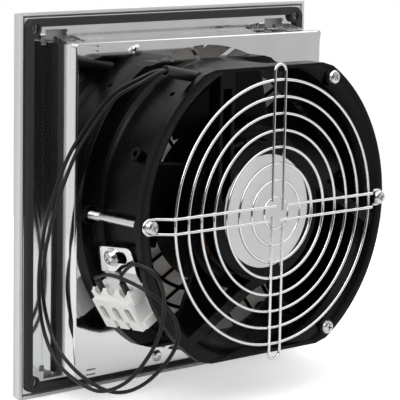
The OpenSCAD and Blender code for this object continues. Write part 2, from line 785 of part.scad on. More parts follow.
// welded wire guard
module finger_guard() {
    color([0.80, 0.81, 0.82]) {
        for (i = [0 : ring_count - 1]) {
            ring(ring_min + i * ring_step);
        }
        hairpin_screw();
        rotate([0, 180, 0]) hairpin_screw();
        rotate([0, 90, 0]) hairpin_flat();
        rotate([0, -90, 0]) hairpin_flat();
    }
}

// pan-head screw with cross recess, head on +Z side of z = 0
module pan_screw(l) {
    difference() {
        union() {
            rotate_extrude($fn = 32) polygon([[0, 0], [head_r, 0], [head_r, 0.45 * head_h],
                [head_r * 0.86, 0.8 * head_h], [head_r * 0.5, head_h], [0, head_h]]);
            translate([0, 0, -l]) cylinder(r = bolt_r, h = l + 0.1, $fn = 24);
        }
        for (a = [0, 90]) {
            rotate(a) translate([-1.9, -0.45, head_h - 1.4]) cube([3.8, 0.9, 2]);
        }
    }
}

// long screws through guard, fan and plate
module fan_screws() {
    tip = plate_y - sheet - nut_h - 1;
    color([0.82, 0.82, 0.80]) {
        for (a = holes) {
            y = (a == 0 || a == 180) ? head_y : fan_y1;
            polar(screw_circle, a, y) turn() rotate(20 + a) pan_screw(y - tip);
        }
    }
}

// hexagon nuts on the inner face of the plate
module fan_nuts() {
    color([0.75, 0.76, 0.76]) for (a = holes) {
        polar(screw_circle, a, plate_y - sheet - nut_h) turn() difference() {
            rotate(a + 30) cylinder(r = nut_af / 2 / cos(30), h = nut_h, $fn = 6);
            translate([0, 0, -1]) cylinder(r = bolt_r, h = nut_h + 2, $fn = 24);
        }
    }
}

// black insulating tube over both leads
module wire_sleeve() {
    color([0.03, 0.03, 0.03]) difference() {
        rod(sleeve_a, sleeve_b, sleeve_r, 32);
        rod(sleeve_a - 0.1 * (sleeve_b - sleeve_a), sleeve_b + 0.1 * (sleeve_b - sleeve_a), sleeve_bore, 32);
    }
}

function unit(v) = v / norm(v);

// point on a smooth curve through the route
function spline(p, i, t) =
    let (n = len(p) - 1, a = p[max(i - 1, 0)], b = p[i], c = p[i + 1], d = p[min(i + 2, n)])
    0.5 * (2 * b + (c - a) * t + (2 * a - 5 * b + 4 * c - d) * t * t + (3 * b - 3 * c + d - a) * t * t * t);

function path(p, k) =
    concat([for (i = [0 : len(p) - 2], j = [0 : k - 1]) spline(p, i, j / k)], [p[len(p) - 1]]);

function tangents(q) = [for (i = [0 : len(q) - 1]) unit(q[min(i + 1, len(q) - 1)] - q[max(i - 1, 0)])];

function carry(t, i, acc) = i == len(t) ? acc :
    carry(t, i + 1, concat(acc, [unit(acc[i - 1] - (acc[i - 1] * t[i]) * t[i])]));

// round cord along a route
module cord(route, r) {
    q = path(route, 2);
    t = tangents(q);
    nn = carry(t, 1, [unit(cross(t[0], [0, 1, 0]))]);
    m = len(q);
    k = 8;
    pts = [for (i = [0 : m - 1], j = [0 : k - 1]) let (b = cross(t[i], nn[i]))
        q[i] + r * cos(j * 360 / k) * nn[i] + r * sin(j * 360 / k) * b];
    sides = [for (i = [0 : m - 2], j = [0 : k - 1])
        [i * k + j, (i + 1) * k + j, (i + 1) * k + (j + 1) % k, i * k + (j + 1) % k]];
    polyhedron(points = pts, faces = concat(sides, [[for (j = [0 : k - 1]) j]],
        [[for (j = [k - 1 : -1 : 0]) (m - 1) * k + j]]), convexity = 10);
}

// entry point of a pole in the frame of the bracket's leg
function entry(i) = [entry_x, block_mid + pole_at[i], block_top];

// the same point in the object's frame
function to_object(v) =
    let (b = bracket_bend, s = bracket_tilt, a = -seat_angle,
        p = [v[0] * cos(b) + v[2] * sin(b), v[1], -v[0] * sin(b) + v[2] * cos(b) - leg_drop],
        w = [p[0] + seat_r, p[1] * cos(s) - p[2] * sin(s) + seat_y, p[1] * sin(s) + p[2] * cos(s) - 3])
    [w[0] * cos(a) + w[2] * sin(a), w[1], -w[0] * sin(a) + w[2] * cos(a)];

function lead_end(i) =
    [to_object(entry(i) + [0, 0, ferrule_up]), to_object(entry(i) + [0, 0, ferrule_up - 1.5])];

module lead_wire_a() {
    color([0.03, 0.03, 0.03]) cord(concat(route_a, lead_end(2)), lead_r);
}

module lead_wire_b() {
    color([0.03, 0.03, 0.03]) cord(concat(route_b, lead_end(0)), lead_r);
}

// thicker insulation at the two wire ends
module wire_ends() {
    color([0.04, 0.04, 0.04]) leg() for (i = [0, 2]) {
        translate(entry(i) - [0, 0, cage_drop])
            cylinder(r = ferrule_r, h = cage_drop + ferrule_up, $fn = 24);
    }
}

// bent strip with a long slot
module terminal_bracket() {
    color([0.86, 0.87, 0.88]) difference() {
        union() {
            seat() rotate([0, -90, 0]) linear_extrude(bracket_t) difference() {
                union() {
                    translate([-leg_drop, bracket_y0]) square([leg_drop + 0.5, bracket_w]);
                    translate([0, bracket_y0 + bracket_corner])
                        square([bracket_corner + 0.5, bracket_w - 2 * bracket_corner]);
                    for (y = [bracket_y0 + bracket_corner, bracket_y0 + bracket_w - bracket_corner]) {
                        translate([0.5, y]) circle(r = bracket_corner, $fn = 32);
                    }
                }
                for (y = slit_at) {
                    translate([0, y]) circle(r = slit_r, $fn = 32);
                }
                translate([-slit_r, slit_at[0]]) square([2 * slit_r, slit_at[1] - slit_at[0]]);
            }
            leg() translate([-bracket_t, bracket_y0, -leg_l]) cube([bracket_t, bracket_w, leg_l]);
        }
        leg() for (y = block_rivet_at) {
            translate([-3, y, block_rivet_z]) rotate([0, 90, 0]) cylinder(r = block_rivet_r, h = 6, $fn = 24);
        }
    }
}

// pan-head screw that holds the bracket on the barrel's boss
module bracket_screw() {
    color([0.82, 0.82, 0.80]) seat() translate([washer_t, 0, 0]) rotate([0, 90, 0]) rotate(30)
        pan_screw(5.6);
}

// washer with outer teeth
module toothed_washer() {
    color([0.78, 0.79, 0.80]) seat() rotate([0, 90, 0]) difference() {
        cylinder(r = head_r + 1.2, h = washer_t, $fn = 48);
        translate([0, 0, -1]) cylinder(r = bolt_r, h = 3, $fn = 24);
        for (a = [0 : 30 : 330]) {
            rotate(a) translate([head_r + 0.6, -0.45, -1]) cube([2, 0.9, 3]);
        }
    }
}

// upright slot with round ends, cut along X around a clamp screw
module well(l) {
    for (z = [-well_rise, well_rise]) {
        translate([0, 0, z]) rotate([0, 90, 0]) cylinder(r = well_r, h = l, $fn = 32);
    }
    translate([0, -well_r, -well_rise]) cube([l, 2 * well_r, 2 * well_rise]);
}

// white three-pole block: wire funnels on top, screw wells in front, gaps between the poles below
module terminal_block() {
    color([0.92, 0.92, 0.90]) leg() difference() {
        union() {
            translate([0, block_mid - block_l / 2, block_top - block_h])
                cube([block_d - 2.5, block_l, block_h]);
            translate([0, block_mid - block_l / 2 + 1, block_top - block_h])
                cube([block_d, block_l - 2, block_h - 3.5]);
            translate([block_d - 6, block_mid - block_l / 2 + 1, block_top - 3.6]) rotate([0, -35, 0])
                cube([4.8, block_l - 2, 3.2]);
        }
        for (p = pole_at) {
            translate([entry_x, block_mid + p, block_top - cage_drop - 0.5])
                cylinder(r = entry_r, h = cage_drop - 2.5, $fn = 32);
            translate([entry_x, block_mid + p, block_top - 3.2])
                cylinder(r1 = entry_r, r2 = funnel_r, h = 3.2, $fn = 32);
            translate([entry_x, block_mid + p, block_top]) cylinder(r = funnel_r, h = 6, $fn = 32);
            translate([entry_x + cage[0] / 2 - 0.3, block_mid + p, block_top - well_drop]) well(block_d);
            translate([entry_x - cage[0] / 2, block_mid + p - cage[1] / 2, block_top - cage_drop - cage[2]])
                cube(cage);
            translate([entry_x, block_mid + p, block_top - block_h - 1]) cylinder(r = 2, h = 5, $fn = 24);
        }
        for (p = [-pole_pitch / 2, pole_pitch / 2]) {
            translate([2.5, block_mid + p - notch_gap / 2, block_top - block_h - 1])
                cube([block_d, notch_gap, 5.8]);
        }
        translate([2.2, block_mid + block_l / 2 - 1.6, block_top - block_h + 4.6])
            cube([block_d - 4.4, 2, block_h - 10.6]);
        for (y = block_rivet_at) {
            translate([-1, y, block_rivet_z]) rotate([0, 90, 0]) cylinder(r = block_rivet_r, h = 5, $fn = 24);
        }
    }
}

// slotted screws in the wells, their tips on the cages
module terminal_screws() {
    color([0.80, 0.80, 0.78]) leg() for (p = pole_at) {
        translate([entry_x + cage[0] / 2, block_mid + p, block_top - well_drop]) rotate([0, 90, 0])
            difference() {
                cylinder(r = well_r - 0.2, h = 1.7, $fn = 32);
                translate([-well_r, -0.4, 1]) cube([2 * well_r, 0.8, 2]);
            }
    }
}

// metal cages that clamp the wire ends
module clamp_cages() {
    color([0.75, 0.72, 0.55]) leg() for (p = pole_at) {
        translate([entry_x, block_mid + p, block_top - cage_drop - cage[2]]) difference() {
            translate([-cage[0] / 2, -cage[1] / 2, 0]) cube(cage);
            translate([0, 0, cage[2] - 2]) cylinder(r = 1, h = 3, $fn = 24);
        }
    }
}

// two rivets between the bracket's lower leg and the block
module block_rivets() {
    h = bracket_t + 0.9;
    r = block_rivet_r;
    color([0.72, 0.73, 0.74]) leg() for (y = block_rivet_at) {
        translate([0, y, block_rivet_z]) rotate([0, 90, 0]) rotate_extrude($fn = 24)
            polygon([[0, -h], [r + 1.1, -h], [r + 1.1, -bracket_t], [r, -bracket_t], [r, 4], [0, 4]]);
    }
}

front_cover();
filter_mat();
mount_frame();
flange_gasket();
spring_clips();
fan_plate();
plate_rivets();
fan_frame();
stator_core();
stator_windings();
bearing_front();
bearing_rear();
preload_washer();
shaft();
rotor_can();
impeller();
retaining_ring();
hub_label();
finger_guard();
fan_screws();
fan_nuts();
wire_sleeve();
lead_wire_a();
lead_wire_b();
wire_ends();
terminal_bracket();
bracket_screw();
toothed_washer();
terminal_block();
terminal_screws();
clamp_cages();
block_rivets();
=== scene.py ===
import math

import bmesh
import bpy
from mathutils import Matrix, Vector, noise


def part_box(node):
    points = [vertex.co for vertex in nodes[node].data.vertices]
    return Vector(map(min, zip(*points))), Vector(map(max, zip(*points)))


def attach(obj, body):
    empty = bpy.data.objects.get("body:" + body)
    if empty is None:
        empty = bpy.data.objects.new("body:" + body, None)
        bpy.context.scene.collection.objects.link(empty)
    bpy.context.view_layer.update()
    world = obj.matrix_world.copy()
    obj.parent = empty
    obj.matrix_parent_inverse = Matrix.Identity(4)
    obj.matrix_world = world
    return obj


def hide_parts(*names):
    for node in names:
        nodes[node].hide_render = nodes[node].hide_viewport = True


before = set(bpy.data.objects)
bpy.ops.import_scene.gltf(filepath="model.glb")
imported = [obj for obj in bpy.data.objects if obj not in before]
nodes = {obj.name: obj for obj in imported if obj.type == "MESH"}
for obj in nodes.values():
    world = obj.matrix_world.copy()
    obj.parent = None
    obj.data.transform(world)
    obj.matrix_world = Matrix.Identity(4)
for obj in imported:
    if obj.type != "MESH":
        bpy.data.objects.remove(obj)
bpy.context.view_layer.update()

# The camera stands on the fan side with a long lens, a little above the axis and round towards the
# terminal block. Its place, aim and slight roll come from the outlines of the cover and the guard.
PHOTO_PIXELS = 400.0
FOCAL_PIXELS = 2077.836
SENSOR_WIDTH = 36.0
eye = Vector((0.74511, 0.85103, 0.18013))
yaw, pitch, roll = 2.406565, 0.161659, 0.017949
view_back = Vector((math.sin(yaw) * math.cos(pitch), -math.cos(yaw) * math.cos(pitch), math.sin(pitch)))
level_right = Vector((0, 0, 1)).cross(view_back).normalized()
level_up = view_back.cross(level_right)
view_right = level_right * math.cos(roll) + level_up * math.sin(roll)
view_up = level_up * math.cos(roll) - level_right * math.sin(roll)
lens = bpy.data.cameras.new("photo_camera")
lens.sensor_width = SENSOR_WIDTH
lens.lens = SENSOR_WIDTH * FOCAL_PIXELS / PHOTO_PIXELS
lens.clip_start = 0.05
lens.clip_end = 60.0


def stand(name, data):
    """A new object with this data, placed in the scene."""
    thing = bpy.data.objects.new(name, data)
    bpy.context.scene.collection.objects.link(thing)
    return thing


camera = stand("photo_camera", lens)
camera.matrix_world = Matrix((view_right, view_up, view_back)).transposed().to_4x4()
camera.location = eye
bpy.context.scene.camera = camera

# Two single-core leads in black PVC run from the sleeve on the fan, hang in one loose loop below the
# tray's corner and come up again into the outer poles of the terminal block.
LEAD_RADIUS = 0.001
LEAD_STEPS = 6
route_a = [(57, 69.45, 74.8), (66, 69.45, 76.5), (76, 66.5, 73.5), (85.5, 53, 63), (92, 39, 43.5),
           (95, 28, 25), (97, 15.5, -6.5), (97.5, 11, -38.5), (97.5, 15.5, -62), (97, 28, -78),
           (97, 50, -85), (95, 64.5, -84.5), (91, 79.5, -75), (84, 89.5, -56), (82, 92.5, -36.5),
           (86.5, 91.5, -22), (91, 80.5, -17.5), (88, 66.5, -25.5), (84.682, 62.932, -30.368),
           (83.912, 63.054, -31.649)]
route_b = [(57, 71.55, 74.8), (66, 71.55, 76.5), (77, 69.5, 72), (86.5, 57.5, 62), (93, 44, 43),
           (95, 32.5, 24.5), (96, 18.5, -7.5), (95, 11, -39), (94.5, 18, -63.5), (94, 34.5, -78),
           (93, 57.5, -85), (90, 73.5, -84), (84, 86, -75.5), (75, 93, -60.5), (74, 93, -47.5),
           (81, 89.5, -36.5), (88.5, 80.5, -29), (91, 62, -26), (88, 46.5, -30),
           (84.32, 43.008, -32.073), (83.549, 43.13, -33.354)]


def smooth_line(route, steps):
    """Points in metres on a smooth curve through the route, which is in millimetres."""
    knots = [Vector(p) * 0.001 for p in route]
    line = []
    for i in range(len(knots) - 1):
        a, b = knots[max(i - 1, 0)], knots[i]
        c, d = knots[i + 1], knots[min(i + 2, len(knots) - 1)]
        for j in range(steps):
            t = j / steps
            line.append(0.5 * (2 * b + (c - a) * t + (2 * a - 5 * b + 4 * c - d) * t * t
                               + (3 * b - 3 * c + d - a) * t * t * t))
    line.append(knots[-1])
    return line


def new_finish(name, colour, roughness, metallic=0.0, **constants):
    """A material with its constant values set on its shader."""
    finish = bpy.data.materials.new(name)
    finish.use_nodes = True
    shader = finish.node_tree.nodes["Principled BSDF"]
    shader.inputs["Base Color"].default_value = (*colour, 1)
    shader.inputs["Roughness"].default_value = roughness
    shader.inputs["Metallic"].default_value = metallic
    for label, value in constants.items():
        shader.inputs[label.replace("_", " ")].default_value = value
    return finish


def open_group(name, inputs, outputs):
    """A shader node group with named sockets, and its two end nodes."""
    group = bpy.data.node_groups.new(name, "ShaderNodeTree")
    kinds = {float: "NodeSocketFloat", tuple: "NodeSocketColor"}
    for label, start in inputs.items():
        socket = group.interface.new_socket(label, in_out="INPUT", socket_type=kinds[type(start)])
        socket.default_value = start
    for label, start in outputs.items():
        group.interface.new_socket(label, in_out="OUTPUT", socket_type=kinds[type(start)])
    return group, group.nodes.new("NodeGroupInput"), group.nodes.new("NodeGroupOutput")


# The grain effect gives patches of two close colours, a roughness that wanders and a fine height for
# the bump. The moulded, coated, plated and fibrous finishes all use it.
grain, source, sink = open_group(
    "grain",
    {"Colour": (1.0, 1.0, 1.0, 1.0), "Patch": (1.0, 1.0, 1.0, 1.0), "Patch Scale": 60.0,
     "Grain Scale": 2500.0, "Low": 0.3, "High": 0.5},
    {"Colour": (1.0, 1.0, 1.0, 1.0), "Roughness": 0.5, "Height": 0.0})
place_in = grain.nodes.new("ShaderNodeTexCoord")
patches = grain.nodes.new("ShaderNodeTexNoise")
patches.inputs["Detail"].default_value = 4.0
specks = grain.nodes.new("ShaderNodeTexNoise")
specks.inputs["Detail"].default_value = 3.0
blend = grain.nodes.new("ShaderNodeMix")
blend.data_type = "RGBA"
spread = grain.nodes.new("ShaderNodeMapRange")
spread.inputs["From Min"].default_value = 0.3
spread.inputs["From Max"].default_value = 0.7
wander = grain.nodes.new("ShaderNodeMath")
wander.operation = "ADD"
halve = grain.nodes.new("ShaderNodeMath")
halve.operation = "MULTIPLY"
halve.inputs[1].default_value = 0.5
for tex, scale in ((patches, "Patch Scale"), (specks, "Grain Scale")):
    grain.links.new(place_in.outputs["Object"], tex.inputs["Vector"])
    grain.links.new(source.outputs[scale], tex.inputs["Scale"])
grain.links.new(patches.outputs["Fac"], blend.inputs["Factor"])
grain.links.new(source.outputs["Colour"], blend.inputs["A"])
grain.links.new(source.outputs["Patch"], blend.inputs["B"])
grain.links.new(patches.outputs["Fac"], wander.inputs[0])
grain.links.new(specks.outputs["Fac"], wander.inputs[1])
grain.links.new(wander.outputs["Value"], halve.inputs[0])
grain.links.new(halve.outputs["Value"], spread.inputs["Value"])
grain.links.new(source.outputs["Low"], spread.inputs["To Min"])
grain.links.new(source.outputs["High"], spread.inputs["To Max"])
grain.links.new(blend.outputs["Result"], sink.inputs["Colour"])
grain.links.new(spread.outputs["Result"], sink.inputs["Roughness"])
grain.links.new(specks.outputs["Fac"], sink.inputs["Height"])


def dress(finish, group, bump, depth, rounding=0.0, **values):
    """Places a group in a material: colour, roughness and a bump, over edges that shade as rounded."""
    tree = finish.node_tree
    shader = tree.nodes["Principled BSDF"]
    effect = tree.nodes.new("ShaderNodeGroup")
    effect.node_tree = group
    for label, value in values.items():
        effect.inputs[label.replace("_", " ")].default_value = value
    tree.links.new(effect.outputs["Colour"], shader.inputs["Base Color"])
    tree.links.new(effect.outputs["Roughness"], shader.inputs["Roughness"])
    relief = tree.nodes.new("ShaderNodeBump")
    relief.inputs["Strength"].default_value = bump
    relief.inputs["Distance"].default_value = depth
    tree.links.new(effect.outputs["Height"], relief.inputs["Height"])
    tree.links.new(relief.outputs["Normal"], shader.inputs["Normal"])
    if rounding:
        soft = tree.nodes.new("ShaderNodeBevel")
        soft.samples = 4
        soft.inputs["Radius"].default_value = rounding
        tree.links.new(soft.outputs["Normal"], relief.inputs["Normal"])
    return effect


lead_pvc = new_finish("lead_pvc", (0.005, 0.005, 0.006), 0.32, Specular_IOR_Level=0.3)
dress(lead_pvc, grain, 0.15, 0.0001, Colour=(0.004, 0.004, 0.005, 1), Patch=(0.008, 0.008, 0.009, 1),
      Patch_Scale=120.0, Grain_Scale=2200.0, Low=0.24, High=0.38)
for name, route in (("lead_wire_a", route_a), ("lead_wire_b", route_b)):
    line = smooth_line(route, LEAD_STEPS)
    curve = bpy.data.curves.new(name + "_cord", "CURVE")
    curve.dimensions = "3D"
    curve.bevel_depth = LEAD_RADIUS
    curve.bevel_resolution = 5
    curve.use_fill_caps = True
    spline = curve.splines.new("POLY")
    spline.points.add(len(line) - 1)
    for point, place in zip(spline.points, line):
        point.co = (*place, 1)
    spline.use_smooth = True
    curve.materials.append(lead_pvc)
    lead = stand(name + "_cord", curve)
    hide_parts(name)
    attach(lead, "housing")

# A length of black insulating tube slips over both leads where they leave the fan, and each lead's
# end carries a thicker piece of tube that goes into its funnel on the terminal block.
sleeve_pvc = new_finish("sleeve_pvc", (0.02, 0.02, 0.02), 0.5)
dress(sleeve_pvc, grain, 0.2, 0.0001, 0.0003, Colour=(0.006, 0.006, 0.007, 1), Patch=(0.012, 0.012, 0.012, 1),
      Patch_Scale=90.0, Grain_Scale=1800.0, Low=0.34, High=0.5)


def finish_nodes(finish, *names):
    """Gives CAD nodes a material in place of the plain one they came with."""
    for name in names:
        mesh = nodes[name].data
        mesh.materials.clear()
        mesh.materials.append(finish)


finish_nodes(sleeve_pvc, "wire_sleeve", "wire_ends")

# The cover is one injection moulding in light grey plastic: a bevelled rim, slanting louvres on two
# uprights and a low wall that holds the mat. It snaps on the flange with four pegs.
cover_plastic = new_finish("cover_plastic", (0.6, 0.61, 0.6), 0.45)
dress(cover_plastic, grain, 0.25, 0.0001, Colour=(0.60, 0.61, 0.595, 1), Patch=(0.64, 0.65, 0.64, 1),
      Patch_Scale=25.0, Grain_Scale=3200.0, Low=0.38, High=0.52)
WELD = 2e-6
FLAT_TURN = math.radians(0.6)
EDGE_TURN = math.radians(38)


def rounded(node, body, finish, width, segments):
    """A piece of the node's own shape with its sharp edges really rounded off, in place of the node."""
    mesh = nodes[node].data.copy()
    mesh.name = node + "_rounded"
    shape = bmesh.new()
    shape.from_mesh(mesh)
    bmesh.ops.remove_doubles(shape, verts=shape.verts, dist=WELD)
    bmesh.ops.dissolve_limit(shape, angle_limit=FLAT_TURN, verts=shape.verts, edges=shape.edges)
    for face in shape.faces:
        face.smooth = True
    shape.to_mesh(mesh)
    shape.free()
    mesh.materials.clear()
    mesh.materials.append(finish)
    piece = stand(node + "_rounded", mesh)
    edge = piece.modifiers.new("edge", "BEVEL")
    edge.width = width
    edge.segments = segments
    edge.limit_method = "ANGLE"
    edge.angle_limit = EDGE_TURN
    edge.use_clamp_overlap = True
    edge.harden_normals = True
    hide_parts(node)
    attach(piece, body)
    return piece


rounded("front_cover", "cover", cover_plastic, 0.0004, 2)

# The filter mat is a soft pad of matted synthetic fibre, cut from a roll and laid in the cover behind
# the louvres. Its faces are uneven and its edges are crushed a little.
MAT_HALF = 0.0841
MAT_FRONT, MAT_BACK = -0.0031, 0.0089
MAT_MIDDLE = 0.5 * (MAT_FRONT + MAT_BACK)
MAT_DEPTH = 0.5 * (MAT_BACK - MAT_FRONT)
SIDE_PLAY, FACE_PLAY = 0.0003, 0.0009
CRUSH_FROM, CRUSH_BAND, CRUSH_SHARE = 0.94, 0.06, 0.22
TUFT_HEIGHT, FIBRE_HEIGHT = 0.0007, 0.0004
MAT_CUTS = 36
filter_fibre = new_finish("filter_fibre", (0.8, 0.76, 0.72), 0.9, Transmission_Weight=0.5, IOR=1.35)
dress(filter_fibre, grain, 0.9, 0.0012, Colour=(0.74, 0.705, 0.68, 1), Patch=(0.9, 0.88, 0.86, 1),
      Patch_Scale=220.0, Grain_Scale=900.0, Low=0.8, High=1.0)
shape = bmesh.new()
bmesh.ops.create_cube(shape, size=2.0)
bmesh.ops.subdivide_edges(shape, edges=shape.edges, cuts=MAT_CUTS, use_grid_fill=True)
for vert in shape.verts:
    x, y, z = vert.co
    rim = max(abs(x), abs(z))
    crush = 1.0 - CRUSH_SHARE * max(0.0, rim - CRUSH_FROM) / CRUSH_BAND
    lump = noise.noise(Vector((x * 9, y * 3, z * 9))) * TUFT_HEIGHT
    lump += noise.noise(Vector((x * 31, y, z * 31))) * FIBRE_HEIGHT
    vert.co = Vector((x * (MAT_HALF - SIDE_PLAY),
                      MAT_MIDDLE + y * (MAT_DEPTH * crush - FACE_PLAY) + abs(y) * lump,
                      z * (MAT_HALF - SIDE_PLAY)))
for face in shape.faces:
    face.smooth = True


def mesh_from(shape, name, *finishes):
    """A mesh of the shape, with its finishes."""
    mesh = bpy.data.meshes.new(name)
    shape.to_mesh(mesh)
    shape.free()
    for finish in finishes:
        mesh.materials.append(finish)
    return mesh


pad = stand("filter_pad", mesh_from(shape, "filter_pad", filter_fibre))
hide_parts("filter_mat")
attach(pad, "cover")

# Flange, tray walls and fan plate are folded from bright rolled sheet, almost a mirror, with faint
# streaks along the rolling direction. The terminal bracket is cut and bent from the same sheet.
rolled, source, sink = open_group(
    "rolled",
    {"Colour": (1.0, 1.0, 1.0, 1.0), "Patch": (1.0, 1.0, 1.0, 1.0), "Streak Scale": 40.0, "Stretch": 0.04,
     "Low": 0.05, "High": 0.2},
    {"Colour": (1.0, 1.0, 1.0, 1.0), "Roughness": 0.5, "Height": 0.0})
place_in = rolled.nodes.new("ShaderNodeTexCoord")
stretch = rolled.nodes.new("ShaderNodeMapping")
lengthwise = rolled.nodes.new("ShaderNodeCombineXYZ")
lengthwise.inputs["X"].default_value = 1.0
lengthwise.inputs["Y"].default_value = 1.0
streaks = rolled.nodes.new("ShaderNodeTexNoise")
streaks.inputs["Detail"].default_value = 5.0
streaks.inputs["Roughness"].default_value = 0.6
spread = rolled.nodes.new("ShaderNodeMapRange")
spread.inputs["From Min"].default_value = 0.3
spread.inputs["From Max"].default_value = 0.7
blend = rolled.nodes.new("ShaderNodeMix")
blend.data_type = "RGBA"
rolled.links.new(source.outputs["Stretch"], lengthwise.inputs["Z"])
rolled.links.new(place_in.outputs["Object"], stretch.inputs["Vector"])
rolled.links.new(lengthwise.outputs["Vector"], stretch.inputs["Scale"])
rolled.links.new(stretch.outputs["Vector"], streaks.inputs["Vector"])
rolled.links.new(source.outputs["Streak Scale"], streaks.inputs["Scale"])
rolled.links.new(streaks.outputs["Fac"], spread.inputs["Value"])
rolled.links.new(source.outputs["Low"], spread.inputs["To Min"])
rolled.links.new(source.outputs["High"], spread.inputs["To Max"])
rolled.links.new(streaks.outputs["Fac"], blend.inputs["Factor"])
rolled.links.new(source.outputs["Colour"], blend.inputs["A"])
rolled.links.new(source.outputs["Patch"], blend.inputs["B"])
rolled.links.new(blend.outputs["Result"], sink.inputs["Colour"])
rolled.links.new(spread.outputs["Result"], sink.inputs["Roughness"])
rolled.links.new(streaks.outputs["Fac"], sink.inputs["Height"])

bright_sheet = new_finish("bright_sheet", (0.85, 0.86, 0.87), 0.1, 1.0)
dress(bright_sheet, rolled, 0.02, 0.0002, 0.0009, Colour=(0.72, 0.725, 0.73, 1), Patch=(0.86, 0.865, 0.87, 1),
      Streak_Scale=60.0, Stretch=0.3, Low=0.03, High=0.1)
finish_nodes(bright_sheet, "terminal_bracket")

# The tray is bent from the same sheet. Its upper and lower walls turn inwards at the rear, where the plate
# is riveted on, and these two strips are cut back round the plate's opening so that the filter mat is
# seen up to its edge.
STRIP_CUT, STRIP_DEPTH = 0.0836, 0.006
tray_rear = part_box("mount_frame")[1][1]
shape = bmesh.new()
bmesh.ops.create_cone(shape, cap_ends=True, segments=160, radius1=STRIP_CUT, radius2=STRIP_CUT,
                      depth=STRIP_DEPTH, matrix=Matrix.Translation((0, tray_rear, 0))
                      @ Matrix.Rotation(math.pi / 2, 4, "X"))
punch = stand("strip_punch", mesh_from(shape, "strip_punch"))
tray = stand("tray", nodes["mount_frame"].data.copy())
cut = tray.modifiers.new("cut", "BOOLEAN")
cut.operation = "DIFFERENCE"
cut.solver = "EXACT"
cut.object = punch
mesh = bpy.data.meshes.new_from_object(tray.evaluated_get(bpy.context.evaluated_depsgraph_get()))
tray.modifiers.clear()
bpy.data.objects.remove(punch)
shape = bmesh.new()
shape.from_mesh(mesh)
bmesh.ops.remove_doubles(shape, verts=shape.verts, dist=WELD)
for face in shape.faces:
    face.smooth = False
shape.to_mesh(mesh)
shape.free()
mesh.materials.clear()
mesh.materials.append(bright_sheet)
tray.data = mesh
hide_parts("mount_frame")
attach(tray, "housing")

# The fan plate is the same sheet, with its rim folded forwards over the tray's walls. The fold has a
# real bending radius, while the punched ribs of its opening keep sharp edges.
FOLD_RADIUS = 0.0012
SHARP_TURN = math.radians(30)
ON_FACE = 1e-5
plate_sheet = new_finish("plate_sheet", (0.85, 0.86, 0.87), 0.1, 1.0)
dress(plate_sheet, rolled, 0.02, 0.0002, 0.0002, Colour=(0.72, 0.725, 0.73, 1), Patch=(0.86, 0.865, 0.87, 1),
      Streak_Scale=60.0, Stretch=0.3, Low=0.03, High=0.1)
plate_low, plate_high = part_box("fan_plate")
mesh = nodes["fan_plate"].data.copy()
mesh.name = "folded_plate"
shape = bmesh.new()
shape.from_mesh(mesh)
bmesh.ops.remove_doubles(shape, verts=shape.verts, dist=WELD)
bmesh.ops.dissolve_limit(shape, angle_limit=FLAT_TURN, verts=shape.verts, edges=shape.edges)
on_rear = {vert for vert in shape.verts if abs(vert.co.y - plate_high[1]) < ON_FACE}
folds = []
for axis in (0, 2):
    for side in (plate_low[axis], plate_high[axis]):
        folds += [edge for edge in shape.edges
                  if all(vert in on_rear and abs(vert.co[axis] - side) < ON_FACE for vert in edge.verts)]
for edge in shape.edges:
    edge.smooth = len(edge.link_faces) == 2 and edge.calc_face_angle() < SHARP_TURN
bend = bmesh.ops.bevel(shape, geom=folds, offset=FOLD_RADIUS, segments=4, profile=0.5, affect="EDGES")
for edge in {edge for face in bend["faces"] for edge in face.edges}:
    edge.smooth = True
for face in shape.faces:
    face.smooth = True
shape.to_mesh(mesh)
shape.free()
mesh.materials.clear()
mesh.materials.append(plate_sheet)
folded_plate = stand("folded_plate", mesh)
level_faces = folded_plate.modifiers.new("level_faces", "WEIGHTED_NORMAL")
level_faces.keep_sharp = True
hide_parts("fan_plate")
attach(folded_plate, "housing")

# A strip of dark foam is stuck on the flange all round and seals it against the door.
# Its edges are soft, its skin is full of small cells, and it spreads a little towards the cover's rim.
GASKET_EDGE, GASKET_SPREAD = 0.0965, 0.0012
foam = new_finish("foam", (0.03, 0.027, 0.026), 0.85)
dress(foam, grain, 0.8, 0.0006, Colour=(0.016, 0.0145, 0.0142, 1), Patch=(0.036, 0.032, 0.032, 1),
      Patch_Scale=300.0, Grain_Scale=1400.0, Low=0.75, High=0.95)
gasket = rounded("flange_gasket", "housing", foam, 0.0006, 3)
for vert in gasket.data.vertices:
    for axis in (0, 2):
        if abs(vert.co[axis]) > GASKET_EDGE:
            vert.co[axis] += math.copysign(GASKET_SPREAD, vert.co[axis])

# Four bent leaves of spring steel hook through slots in the flange, lie on the tray's upper and lower walls
# and grip the door's cut-out. They are blanked from strip, with fine lines along it. The motor's preload
# washer and the snap ring on its shaft are of the same steel.
spring_steel = new_finish("spring_steel", (0.7, 0.71, 0.72), 0.25, 1.0)
dress(spring_steel, rolled, 0.02, 0.0002, 0.0002, Colour=(0.62, 0.63, 0.64, 1), Patch=(0.74, 0.745, 0.75, 1),
      Streak_Scale=500.0, Stretch=0.05, Low=0.16, High=0.32)
finish_nodes(spring_steel, "spring_clips", "preload_washer", "retaining_ring")

